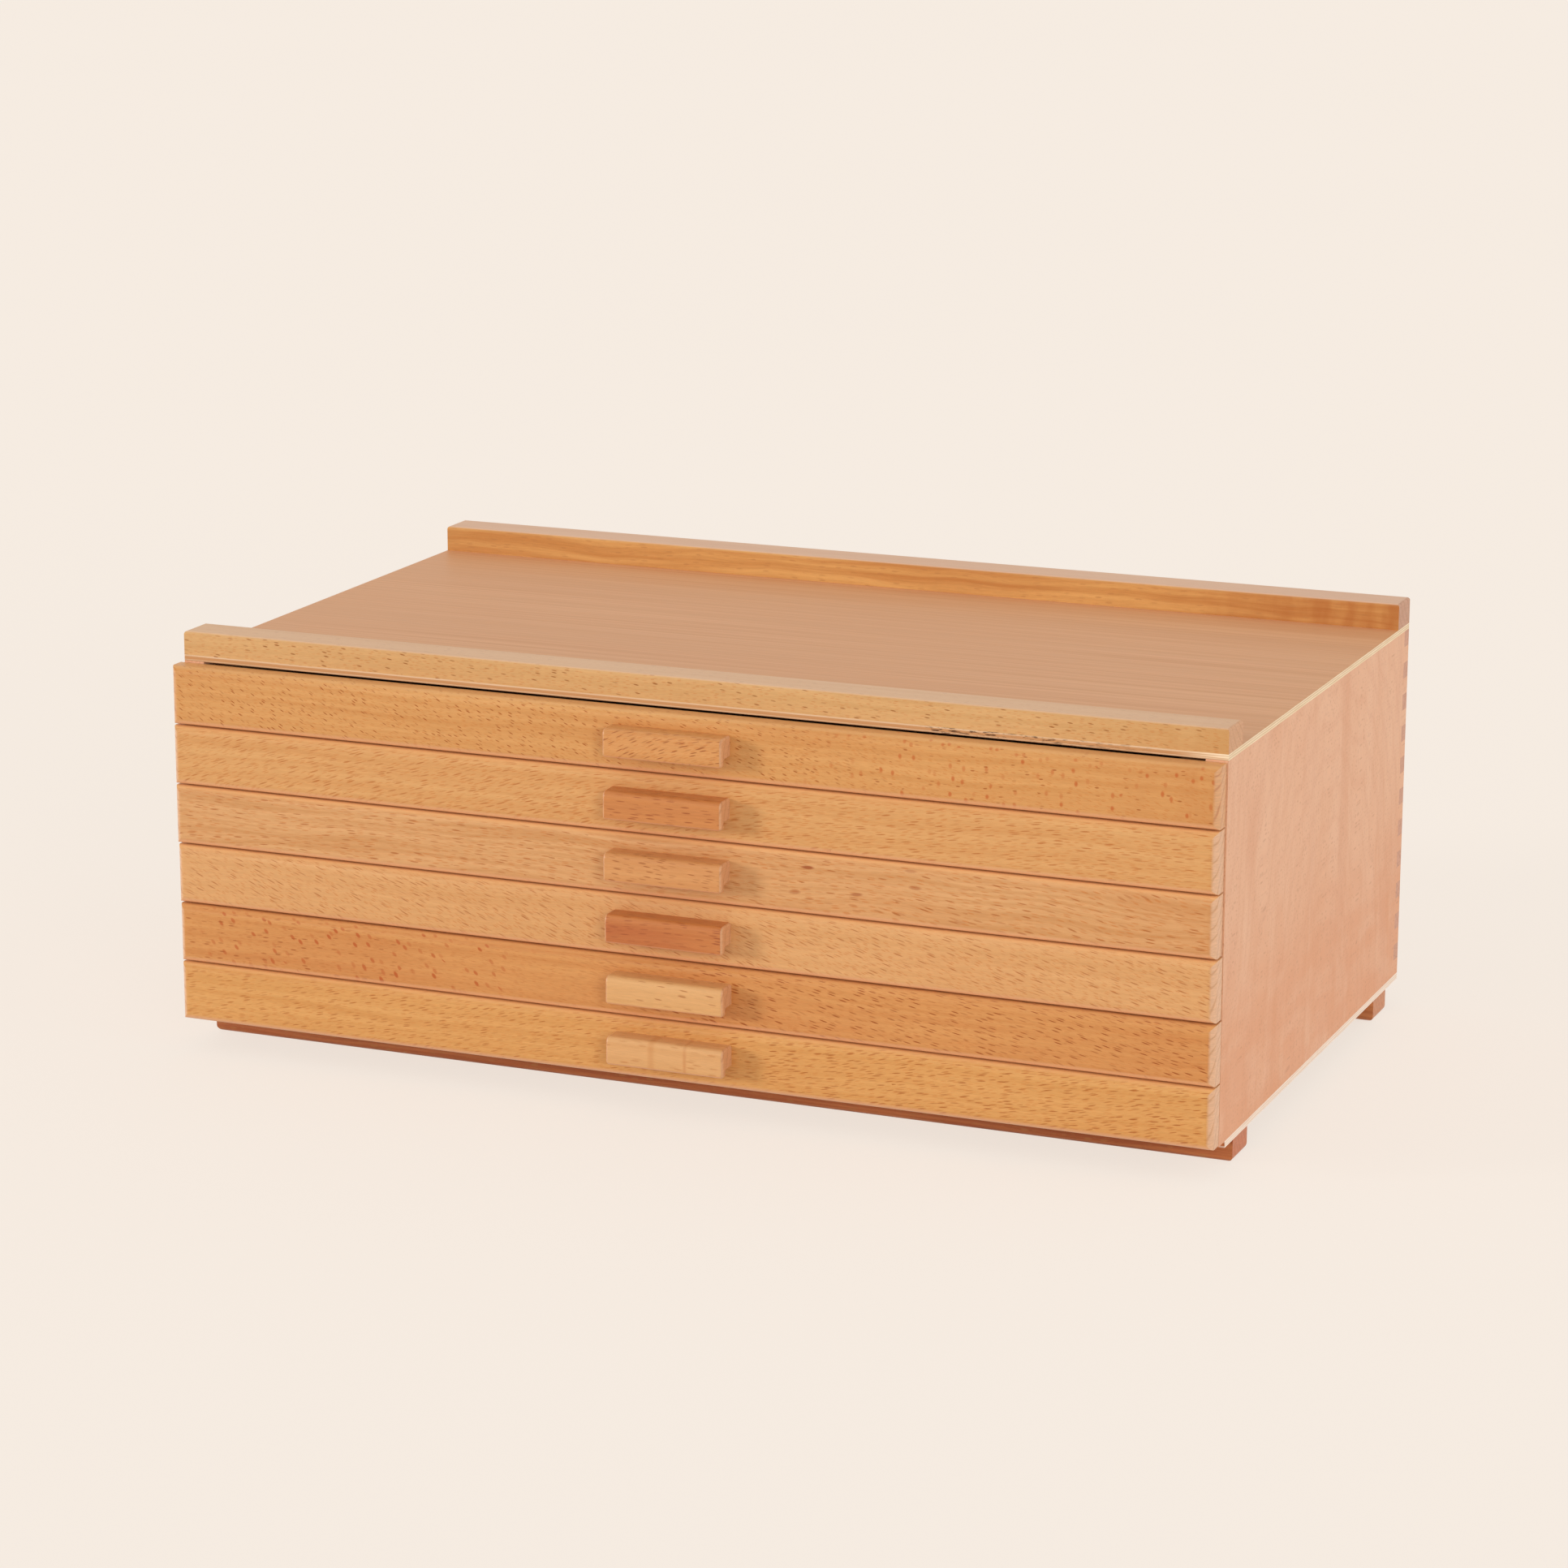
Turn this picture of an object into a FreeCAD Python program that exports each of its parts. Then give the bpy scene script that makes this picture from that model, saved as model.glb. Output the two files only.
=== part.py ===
# Wooden pastel box: six shallow drawers, a lipped tray top and two foot rails.
# Millimetres. X runs to the right, Y to the back, Z up, and the drawers open to -Y.
# The origin is the middle of the box's footprint, on the surface that it stands on.
import FreeCAD, Part
import os
import Sketcher
from FreeCAD import Vector

# Counts
DRAWER_COUNT = 6
DIVIDERS_PER_DRAWER = 2
FINGER_PAIRS = 11
FOOT_RAILS = 2
SCREWS_PER_HANDLE = 2
SCREWS_PER_FOOT_RAIL = 3

# Where each drawer rests between its runners, top drawer first, as shares of the side play
DRAWER_REST_SHARES = (-0.7, -1.0, -0.9, 0.3, 0.9, 1.0)

# How far an edge may stray from a face and still lie on it, as a share of the body's size
STRAY_SHARE = 1e-6

CASE_SIZES = {
    "case_width": 400.4,
    "case_depth": 231,
    "side_thickness": 8,
    "back_thickness": 6,
    "top_thickness": 2.2,
    "base_thickness": 2.4,
    "base_front_inset": 7,
    "lip_depth": 15.6,
    "front_lip_height": 8.8,
    "rear_lip_height": 10,
    "lip_edge_radius": 1.2,
    "foot_height": 9.1,
    "foot_depth": 17,
    "foot_edge_radius": 2.4,
    "foot_end_inset": 0.5,
    "front_foot_inset": 18.3,
    "rear_foot_inset": 14.6,
    "runner_width": 4.7,
    "runner_height": 6,
    "runner_front_inset": 6,
}

DRAWER_SIZES = {
    "front_height": 22,
    "front_thickness": 7.7,
    "front_end_overhang": 0.5,
    "front_shift": -0.8,
    "front_edge_radius": 2.8,
    "box_side_thickness": 9,
    "box_back_thickness": 7,
    "box_floor_thickness": 2.5,
    "box_floor_lift": 2.6,
    "box_floor_tongue": 3,
    "box_rim_drop": 1.2,
    "box_groove_lift": 4.4,
    "divider_thickness": 4,
    "divider_rim_drop": 4,
    "handle_length": 45.6,
    "handle_height": 10.4,
    "handle_depth": 8,
    "handle_lip": 2.4,
    "handle_cove": 3,
    "handle_cove_radius": 1,
    "handle_top_radius": 2.2,
    "handle_end_radius": 1.1,
    "handle_shift": -1.1,
    "handle_rise": 0.5,
}

CLEARANCES = {
    "front_gap": 0.6,
    "top_gap": 0.7,
    "base_gap": 0.6,
    "front_stand_off": 0.3,
    "drawer_side_gap": 1.2,
    "drawer_side_play": 0.3,
    "drawer_rear_gap": 3,
    "runner_top_gap": 0.3,
    "runner_bottom_gap": 0.7,
    "runner_tip_gap": 1,
    "screw_hole_gap": 0.1,
    "cut_overrun": 1,
}

# Countersunk wood screws, in the handles and from the case's base into the foot rails
SCREW_SIZES = {
    "screw_diameter": 2.8,
    "screw_head_diameter": 5.4,
    "screw_tip_length": 2,
    "screw_slot_width": 0.8,
    "screw_slot_depth": 0.6,
    "screw_end_wall": 2.1,
    "handle_screw_inset": 9.8,
    "foot_screw_inset": 50,
}

# The fronts' width and the case, as expressions on the sheet. The fronts stand out on the left,
# so the case is off the middle of the footprint.
FRONT_WIDTH = "(Sizes.case_width + 2 * Sizes.front_end_overhang)"
CASE_MIDDLE = "((Sizes.front_end_overhang - Sizes.front_shift + Sizes.drawer_side_play) / 2)"
CASE_LEFT = "(%s - Sizes.case_width / 2)" % CASE_MIDDLE
CASE_FRONT = (
    "((Sizes.handle_depth + Sizes.front_thickness + Sizes.front_stand_off - Sizes.case_depth) / 2)"
)
INNER_RIGHT = "(%s + Sizes.case_width / 2 - Sizes.side_thickness)" % CASE_MIDDLE
INNER_DEPTH = "(Sizes.case_depth - Sizes.back_thickness)"
FRONT_PITCH = "(Sizes.front_height + Sizes.front_gap)"
FRONTS_HEIGHT = "(%d * %s - Sizes.front_gap)" % (DRAWER_COUNT, FRONT_PITCH)
SIDE_HEIGHT = "(%s + Sizes.top_gap + Sizes.base_gap)" % FRONTS_HEIGHT
SIDE_BOTTOM = "(Sizes.foot_height + Sizes.base_thickness)"
SIDE_TOP = "(%s + %s)" % (SIDE_BOTTOM, SIDE_HEIGHT)
TRAY_FLOOR = "(%s + Sizes.top_thickness)" % SIDE_TOP
FINGER_HEIGHT = "(%s / %d)" % (SIDE_HEIGHT, 2 * FINGER_PAIRS)
FINGER_ROW_HEIGHT = "(%d * %s)" % (2 * FINGER_PAIRS - 2, FINGER_HEIGHT)
BASE_DEPTH = "(Sizes.case_depth - Sizes.base_front_inset)"
FOOT_LENGTH = FRONT_WIDTH
FOOT_LEFT = "(%s + Sizes.case_width - Sizes.foot_end_inset - %s)" % (CASE_LEFT, FOOT_LENGTH)
REAR_FOOT = "(Sizes.case_depth - Sizes.rear_foot_inset - Sizes.foot_depth)"

# One drawer, measured from the rear face and the lower edge of its front
LOWEST_DRAWER = "(%s + Sizes.base_gap)" % SIDE_BOTTOM
BOX_WIDTH = "(Sizes.case_width - 2 * Sizes.side_thickness - 2 * Sizes.drawer_side_gap)"
BOX_LENGTH = "(%s - Sizes.drawer_rear_gap + Sizes.front_stand_off)" % INNER_DEPTH
BOX_FLOOR = "(Sizes.box_floor_lift + Sizes.box_floor_thickness)"
BOX_SIDE_HEIGHT = "(Sizes.front_height - Sizes.box_rim_drop - %s)" % BOX_FLOOR
HOLLOW_WIDTH = "(%s - 2 * Sizes.box_side_thickness)" % BOX_WIDTH
HOLLOW_LENGTH = "(%s - Sizes.box_back_thickness)" % BOX_LENGTH
BAY_PITCH = "((%s + Sizes.divider_thickness) / %d)" % (HOLLOW_WIDTH, DIVIDERS_PER_DRAWER + 1)
GROOVE_DEPTH = "(Sizes.runner_width + Sizes.runner_tip_gap - Sizes.drawer_side_gap)"
GROOVE_HEIGHT = "(Sizes.runner_bottom_gap + Sizes.runner_height + Sizes.runner_top_gap)"
HANDLE_LEFT = "(Sizes.handle_shift - Sizes.handle_length / 2)"
HANDLE_BOTTOM = "((Sizes.front_height - Sizes.handle_height) / 2 + Sizes.handle_rise)"

# Screws and their holes
SCREW_HOLE = "(Sizes.screw_diameter + 2 * Sizes.screw_hole_gap)"
SCREW_SINK = "(Sizes.screw_head_diameter + 2 * Sizes.screw_hole_gap)"
SCREW_HEAD_HEIGHT = "((Sizes.screw_head_diameter - Sizes.screw_diameter) / 2)"
HANDLE_SCREW_RISE = "((Sizes.handle_height + Sizes.handle_cove) / 2)"
HANDLE_SCREW_SPAN = "(Sizes.handle_length - 2 * Sizes.handle_screw_inset)"
HANDLE_HOLE_DEPTH = "(Sizes.handle_depth - Sizes.screw_end_wall)"
FOOT_SCREW_SPAN = "(%s - 2 * Sizes.foot_screw_inset)" % FOOT_LENGTH
FOOT_HOLE_DEPTH = "(Sizes.foot_height - Sizes.screw_end_wall)"

document = FreeCAD.newDocument("pastel_box")
sheet = document.addObject("Spreadsheet::Sheet", "Sizes")
sub_parts = []


# Sheet, bodies and sketches

def fill_sheet(*groups):
    """Write every driving dimension into the sheet as a plain number with an alias."""
    row = 1
    for group in groups:
        for name, value in group.items():
            sheet.set("A%d" % row, name)
            sheet.set("B%d" % row, str(value))
            sheet.setAlias("B%d" % row, name)
            row += 1
    document.recompute()


def new_body(label):
    """Start one sub-part, whose label names its file."""
    body = document.addObject("PartDesign::Body", label)
    body.Label = label
    sub_parts.append(body)
    return body


def place(body, x, y, z):
    """Bind a sub-part's place in the box to the sheet."""
    body.setExpression("Placement.Base.x", x)
    body.setExpression("Placement.Base.y", y)
    body.setExpression("Placement.Base.z", z)


def origin_feature(body, role):
    """Find one of a body's own origin planes or axes."""
    for feature in body.Origin.OriginFeatures:
        if feature.Role == role:
            return feature
    raise ValueError(role)


def new_sketch(body, name, role, offset="0"):
    """Sketch on an origin plane, moved along the plane's normal by an expression."""
    sketch = body.newObject("Sketcher::SketchObject", name)
    sketch.AttachmentSupport = [(origin_feature(body, role), "")]
    sketch.MapMode = "FlatFace"
    sketch.setExpression("AttachmentOffset.Base.z", offset)
    return sketch


def number(sketch, expression):
    """Present value of an expression, from which a sketch starts."""
    return float(sketch.evalExpression(expression))


def bind(sketch, expression, kind, *target):
    """Add a dimension to a sketch and bind it to the sheet."""
    dimension = Sketcher.Constraint(kind, *target, number(sketch, expression))
    index = sketch.addConstraint(dimension)
    sketch.setExpression("Constraints[%d]" % index, expression)


def pin_point(sketch, geometry, position, x, y):
    """Hold a sketch point at two expressions measured from the sketch's origin."""
    bind(sketch, x, "DistanceX", -1, 1, geometry, position)
    bind(sketch, y, "DistanceY", -1, 1, geometry, position)


def add_outline(sketch, corners):
    """Closed outline of straight lines, with every corner bound to the sheet."""
    first = sketch.GeometryCount
    count = len(corners)
    points = [Vector(number(sketch, x), number(sketch, y), 0) for x, y in corners]
    for index in range(count):
        line = Part.LineSegment(points[index], points[(index + 1) % count])
        sketch.addGeometry(line, False)
    for index in range(count):
        following = first + (index + 1) % count
        sketch.addConstraint(Sketcher.Constraint("Coincident", first + index, 2, following, 1))
    for index, (x, y) in enumerate(corners):
        pin_point(sketch, first + index, 1, x, y)


def add_rectangle(sketch, left, bottom, width, height):
    """Rectangle from its lower left corner, width and height."""
    right = "%s + %s" % (left, width)
    top = "%s + %s" % (bottom, height)
    add_outline(sketch, [(left, bottom), (right, bottom), (right, top), (left, top)])


def add_circle(sketch, x, y, diameter):
    """Circle bound to the sheet."""
    centre = Vector(number(sketch, x), number(sketch, y), 0)
    circle = Part.Circle(centre, Vector(0, 0, 1), number(sketch, diameter) / 2)
    index = sketch.addGeometry(circle, False)
    pin_point(sketch, index, 3, x, y)
    bind(sketch, diameter, "Diameter", index)


def even_places(first, span, count):
    """Places spread evenly over a span, its ends included."""
    return ["%s + %s * %d / %d" % (first, span, index, count - 1) for index in range(count)]


# Features

def add_pad(body, sketch, length, reverse=False):
    """Pad along the sketch's normal, or against it."""
    pad = body.newObject("PartDesign::Pad", sketch.Name + "_pad")
    pad.Profile = sketch
    pad.setExpression("Length", length)
    pad.Reversed = reverse
    document.recompute()
    return pad


def check_cut(body, volume_before):
    """Stop if a cut took nothing away."""
    if body.Shape.Volume >= volume_before:
        raise ValueError("nothing was cut from " + body.Label)


def add_pocket(body, sketch, depth, reverse=False):
    """Pocket against the sketch's normal, or along it."""
    volume_before = body.Shape.Volume
    pocket = body.newObject("PartDesign::Pocket", sketch.Name + "_pocket")
    pocket.Profile = sketch
    pocket.setExpression("Length", depth)
    pocket.Reversed = reverse
    document.recompute()
    check_cut(body, volume_before)
    return pocket


def add_holes(body, sketch, depth, countersunk, reverse=False):
    """Screw holes at a sketch's circles, with or without a seat for the screw's head."""
    document.recompute()
    volume_before = body.Shape.Volume
    hole = body.newObject("PartDesign::Hole", sketch.Name + "_hole")
    hole.Profile = sketch
    document.recompute()
    hole.ThreadType = "None"
    hole.setExpression("Diameter", SCREW_HOLE)
    hole.DepthType = "Dimension"
    hole.setExpression("Depth", depth)
    hole.DrillPoint = "Flat"
    hole.Reversed = reverse
    if countersunk:
        hole.HoleCutType = "Countersink"
        hole.HoleCutCustomValues = True
        hole.setExpression("HoleCutDiameter", SCREW_SINK)
        hole.HoleCutCountersinkAngle = 90
    document.recompute()
    check_cut(body, volume_before)


def add_fillet(body, radius, chosen):
    """Round the edges of the body for which chosen(edge box, body box) holds."""
    base = body.Tip
    whole = base.Shape.BoundBox
    edges = enumerate(base.Shape.Edges, start=1)
    names = ["Edge%d" % index for index, edge in edges if chosen(edge.BoundBox, whole)]
    fillet = body.newObject("PartDesign::Fillet", body.Name + "_" + chosen.__name__)
    fillet.Base = (base, names)
    fillet.setExpression("Radius", radius)
    document.recompute()


def new_row(body, role, span, count):
    """Pattern that spreads copies evenly along an origin axis."""
    row = body.newObject("PartDesign::LinearPattern", body.Name + "_row")
    row.Direction = (origin_feature(body, role), [""])
    row.Occurrences = count
    row.setExpression("Length", span)
    return row


def add_row(body, features, role, span, count):
    """Repeat features evenly along an origin axis."""
    row = new_row(body, role, span, count)
    row.Originals = features
    body.Tip = row
    document.recompute()


def add_grid(body, features, first_row, second_row):
    """Repeat features along two axes, each row an axis, a span and a count."""
    grid = body.newObject("PartDesign::MultiTransform", body.Name + "_grid")
    grid.Originals = features
    grid.Transformations = [new_row(body, *first_row), new_row(body, *second_row)]
    body.Tip = grid
    document.recompute()


# Choice of edges, from the bounding boxes of the edge and of its body

def near(first, second, whole):
    """True where two coordinates agree, judged against the body's size."""
    return abs(first - second) < whole.DiagonalLength * STRAY_SHARE


def on_top_face(edge, whole):
    return near(edge.ZMin, whole.ZMax, whole)


def on_bottom_face(edge, whole):
    return near(edge.ZMax, whole.ZMin, whole)


def on_front_face(edge, whole):
    return near(edge.YMax, whole.YMin, whole)


def on_top_front(edge, whole):
    return on_top_face(edge, whole) and on_front_face(edge, whole)


def on_front_or_ends(edge, whole):
    """Edges round the front face, and those that run back from its corners."""
    on_front = on_front_face(edge, whole)
    on_end = near(edge.XMin, edge.XMax, whole)
    on_top_or_bottom = on_top_face(edge, whole) or on_bottom_face(edge, whole)
    return on_front and on_end or on_top_or_bottom and (on_front or on_end)


def at_inner_corner(edge, whole):
    """The edge along X that lies on none of the body's outer faces."""
    between_y = not near(edge.YMin, whole.YMin, whole) and not near(edge.YMax, whole.YMax, whole)
    between_z = not near(edge.ZMin, whole.ZMin, whole) and not near(edge.ZMax, whole.ZMax, whole)
    return between_y and between_z and not near(edge.XMin, edge.XMax, whole)


# Case

def make_board(label, left, width, depth, height):
    """Rectangular board, its lower front edge on the body's X axis."""
    body = new_body(label)
    outline = new_sketch(body, label + "_outline", "XY_Plane")
    add_rectangle(outline, left, "0", width, depth)
    add_pad(body, outline, height)
    return body


def place_in_case(body, x, from_front, z):
    """Place a piece by its distance behind the case's front edges."""
    place(body, x, "%s + %s" % (CASE_FRONT, from_front), z)


def make_top_panel():
    """The floor of the tray, a thin plywood panel of the case's full width and depth."""
    body = make_board(
        "top_panel", CASE_LEFT, "Sizes.case_width", "Sizes.case_depth", "Sizes.top_thickness"
    )
    place_in_case(body, "0", "0", SIDE_TOP)


def make_base_panel():
    """The case's thin plywood floor, drilled for the screws that hold the foot rails."""
    body = make_board(
        "base_panel", CASE_LEFT, "Sizes.case_width", BASE_DEPTH, "Sizes.base_thickness"
    )
    drilling = new_sketch(body, "base_panel_drilling", "XY_Plane", "Sizes.base_thickness")
    first_x = "%s + Sizes.foot_screw_inset" % FOOT_LEFT
    for rail in ("Sizes.front_foot_inset", REAR_FOOT):
        for x in even_places(first_x, FOOT_SCREW_SPAN, SCREWS_PER_FOOT_RAIL):
            y = "%s + Sizes.foot_depth / 2 - Sizes.base_front_inset" % rail
            add_circle(drilling, x, y, SCREW_HOLE)
    add_holes(body, drilling, "Sizes.base_thickness + Sizes.cut_overrun", countersunk=True)
    place_in_case(body, "0", "Sizes.base_front_inset", "Sizes.foot_height")


def make_side_panel(label, left):
    """Upright side, its rear edge notched for the back panel's fingers."""
    body = make_board(label, "0", "Sizes.side_thickness", "Sizes.case_depth", SIDE_HEIGHT)
    outline = new_sketch(body, label + "_notch", "YZ_Plane")
    notch_depth = "Sizes.back_thickness + Sizes.cut_overrun"
    add_rectangle(outline, INNER_DEPTH, FINGER_HEIGHT, notch_depth, FINGER_HEIGHT)
    notch = add_pocket(body, outline, "Sizes.side_thickness", reverse=True)
    add_row(body, [notch], "Z_Axis", FINGER_ROW_HEIGHT, FINGER_PAIRS)
    place_in_case(body, left, "0", SIDE_BOTTOM)


def make_back_panel():
    """Upright back, both ends cut into fingers that fill the side panels' notches."""
    body = make_board(
        "back_panel", CASE_LEFT, "Sizes.case_width", "Sizes.back_thickness", SIDE_HEIGHT
    )
    outline = new_sketch(body, "back_panel_notch", "XZ_Plane")
    notch_width = "Sizes.side_thickness + Sizes.cut_overrun"
    for left in ("%s - Sizes.cut_overrun" % CASE_LEFT, INNER_RIGHT):
        add_rectangle(outline, left, "0", notch_width, FINGER_HEIGHT)
    notch = add_pocket(body, outline, "Sizes.back_thickness")
    add_row(body, [notch], "Z_Axis", FINGER_ROW_HEIGHT, FINGER_PAIRS)
    place_in_case(body, "0", INNER_DEPTH, SIDE_BOTTOM)


def make_lip_rail(label, height, from_front):
    """Solid rail along one edge of the tray, its upper edges rounded."""
    body = make_board(label, CASE_LEFT, "Sizes.case_width", "Sizes.lip_depth", height)
    add_fillet(body, "Sizes.lip_edge_radius", on_top_face)
    place_in_case(body, "0", from_front, TRAY_FLOOR)


def make_foot_rail(label, from_front):
    """Rail that the box stands on, its lower edges rounded, drilled from above."""
    body = make_board(label, "0", FOOT_LENGTH, "Sizes.foot_depth", "Sizes.foot_height")
    add_fillet(body, "Sizes.foot_edge_radius", on_bottom_face)
    drilling = new_sketch(body, label + "_drilling", "XY_Plane", "Sizes.foot_height")
    for x in even_places("Sizes.foot_screw_inset", FOOT_SCREW_SPAN, SCREWS_PER_FOOT_RAIL):
        add_circle(drilling, x, "Sizes.foot_depth / 2", SCREW_HOLE)
    add_holes(body, drilling, FOOT_HOLE_DEPTH, countersunk=False)
    place_in_case(body, FOOT_LEFT, from_front, "0")


def make_runners(label, left):
    """One strip for each drawer, fixed to the inner face of a side panel."""
    body = new_body(label)
    section = new_sketch(body, label + "_section", "XZ_Plane")
    add_rectangle(section, "0", "0", "Sizes.runner_width", "Sizes.runner_height")
    length = "%s - Sizes.runner_front_inset" % INNER_DEPTH
    strip = add_pad(body, section, length, reverse=True)
    add_row(body, [strip], "Z_Axis", "%d * %s" % (DRAWER_COUNT - 1, FRONT_PITCH), DRAWER_COUNT)
    groove = "%s + %s + Sizes.box_groove_lift" % (LOWEST_DRAWER, BOX_FLOOR)
    place_in_case(body, left, "Sizes.runner_front_inset", groove + " + Sizes.runner_bottom_gap")


# Screws

def add_screw(body, section_role, slot_role, length, slot_reverse):
    """Countersunk screw, the flat of its slotted head at the body's origin."""
    head = "Sizes.screw_head_diameter / 2"
    shank = "Sizes.screw_diameter / 2"
    section = new_sketch(body, body.Name + "_section", section_role)
    add_outline(
        section,
        [
            ("0", "0"),
            (head, "0"),
            (shank, "-%s" % SCREW_HEAD_HEIGHT),
            (shank, "Sizes.screw_tip_length - (%s)" % length),
            ("0", "-(%s)" % length),
        ],
    )
    turned = body.newObject("PartDesign::Revolution", body.Name + "_turned")
    turned.Profile = section
    turned.ReferenceAxis = (section, ["V_Axis"])
    turned.Angle = 360
    document.recompute()
    slot = new_sketch(body, body.Name + "_slot", slot_role)
    slot_left = "-(%s) - Sizes.cut_overrun" % head
    slot_bottom = "-Sizes.screw_slot_width / 2"
    slot_length = "Sizes.screw_head_diameter + 2 * Sizes.cut_overrun"
    add_rectangle(slot, slot_left, slot_bottom, slot_length, "Sizes.screw_slot_width")
    cut = add_pocket(body, slot, "Sizes.screw_slot_depth", reverse=slot_reverse)
    return [turned, cut]


def make_foot_rail_screws():
    """Screws down through the base into both foot rails, their heads flush with the base."""
    body = new_body("foot_rail_screws")
    length = "Sizes.base_thickness + %s - Sizes.screw_hole_gap" % FOOT_HOLE_DEPTH
    screw = add_screw(body, "XZ_Plane", "XY_Plane", length, slot_reverse=False)
    rail_span = "%s - Sizes.front_foot_inset" % REAR_FOOT
    along_rail = ("X_Axis", FOOT_SCREW_SPAN, SCREWS_PER_FOOT_RAIL)
    add_grid(body, screw, along_rail, ("Y_Axis", rail_span, FOOT_RAILS))
    first_x = "%s + Sizes.foot_screw_inset" % FOOT_LEFT
    place_in_case(body, first_x, "Sizes.front_foot_inset + Sizes.foot_depth / 2", SIDE_BOTTOM)


# Drawers

def place_in_drawer(body, row, x="0", y="0", z="0"):
    """Place a piece in the drawer of the given row, counted from the top."""
    middle = "%s + (%s * Sizes.drawer_side_play)" % (CASE_MIDDLE, DRAWER_REST_SHARES[row])
    drawer_bottom = "%s + %d * %s" % (LOWEST_DRAWER, DRAWER_COUNT - 1 - row, FRONT_PITCH)
    place(
        body,
        "%s + %s" % (x, middle),
        "%s - Sizes.front_stand_off + %s" % (CASE_FRONT, y),
        "%s + %s" % (drawer_bottom, z),
    )


def make_drawer_front(label, row):
    """Full-width front, rounded round its front face, grooved and drilled in its rear face."""
    body = new_body(label)
    outline = new_sketch(body, label + "_outline", "XZ_Plane")
    left = "Sizes.front_shift - %s / 2" % FRONT_WIDTH
    add_rectangle(outline, left, "0", FRONT_WIDTH, "Sizes.front_height")
    add_pad(body, outline, "Sizes.front_thickness")
    add_fillet(body, "Sizes.front_edge_radius", on_front_face)
    groove = new_sketch(body, label + "_groove", "XZ_Plane")
    groove_left = "-%s / 2" % BOX_WIDTH
    floor_lift = "Sizes.box_floor_lift"
    add_rectangle(groove, groove_left, floor_lift, BOX_WIDTH, "Sizes.box_floor_thickness")
    add_pocket(body, groove, "Sizes.box_floor_tongue", reverse=True)
    drilling = new_sketch(body, label + "_drilling", "XZ_Plane")
    first_x = "%s + Sizes.handle_screw_inset" % HANDLE_LEFT
    screw_z = "%s + %s" % (HANDLE_BOTTOM, HANDLE_SCREW_RISE)
    for x in even_places(first_x, HANDLE_SCREW_SPAN, SCREWS_PER_HANDLE):
        add_circle(drilling, x, screw_z, SCREW_HOLE)
    depth = "Sizes.front_thickness + Sizes.cut_overrun"
    add_holes(body, drilling, depth, countersunk=True, reverse=True)
    place_in_drawer(body, row)


def make_handle(label, row):
    """Short bar with a hanging lip, so that fingers find a hold under it."""
    body = new_body(label)
    lip_rear = "Sizes.handle_lip - Sizes.handle_depth"
    section = new_sketch(body, label + "_section", "YZ_Plane")
    add_outline(
        section,
        [
            ("0", "Sizes.handle_cove"),
            ("0", "Sizes.handle_height"),
            ("-Sizes.handle_depth", "Sizes.handle_height"),
            ("-Sizes.handle_depth", "0"),
            (lip_rear, "0"),
            (lip_rear, "Sizes.handle_cove"),
        ],
    )
    add_pad(body, section, "Sizes.handle_length")
    add_fillet(body, "Sizes.handle_cove_radius", at_inner_corner)
    add_fillet(body, "Sizes.handle_top_radius", on_top_front)
    add_fillet(body, "Sizes.handle_end_radius", on_front_or_ends)
    drilling = new_sketch(body, label + "_drilling", "XZ_Plane")
    for x in even_places("Sizes.handle_screw_inset", HANDLE_SCREW_SPAN, SCREWS_PER_HANDLE):
        add_circle(drilling, x, HANDLE_SCREW_RISE, SCREW_HOLE)
    add_holes(body, drilling, HANDLE_HOLE_DEPTH, countersunk=False, reverse=True)
    place_in_drawer(body, row, HANDLE_LEFT, "(-Sizes.front_thickness)", HANDLE_BOTTOM)


def make_handle_screws(label, row):
    """Screws forward through the drawer's front into its handle."""
    body = new_body(label)
    length = "Sizes.front_thickness + %s - Sizes.screw_hole_gap" % HANDLE_HOLE_DEPTH
    screw = add_screw(body, "XY_Plane", "XZ_Plane", length, slot_reverse=True)
    add_row(body, screw, "X_Axis", HANDLE_SCREW_SPAN, SCREWS_PER_HANDLE)
    first_x = "%s + Sizes.handle_screw_inset" % HANDLE_LEFT
    place_in_drawer(body, row, first_x, "0", "%s + %s" % (HANDLE_BOTTOM, HANDLE_SCREW_RISE))


def make_box_side(label, row, outer_face, inward):
    """Side of the drawer's box, grooved along its outer face for the runner."""
    body = new_body(label)
    inner_face = "%d * Sizes.box_side_thickness" % inward
    groove_floor = "%d * %s" % (inward, GROOVE_DEPTH)
    groove_top = "Sizes.box_groove_lift + %s" % GROOVE_HEIGHT
    section = new_sketch(body, label + "_section", "XZ_Plane")
    add_outline(
        section,
        [
            ("0", "0"),
            (inner_face, "0"),
            (inner_face, BOX_SIDE_HEIGHT),
            ("0", BOX_SIDE_HEIGHT),
            ("0", groove_top),
            (groove_floor, groove_top),
            (groove_floor, "Sizes.box_groove_lift"),
            ("0", "Sizes.box_groove_lift"),
        ],
    )
    add_pad(body, section, BOX_LENGTH, reverse=True)
    place_in_drawer(body, row, outer_face, "0", BOX_FLOOR)


def make_box_back(label, row):
    """Back of the drawer's box, between its sides."""
    left = "-%s / 2" % HOLLOW_WIDTH
    body = make_board(label, left, HOLLOW_WIDTH, "Sizes.box_back_thickness", BOX_SIDE_HEIGHT)
    place_in_drawer(body, row, "0", HOLLOW_LENGTH, BOX_FLOOR)


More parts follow.
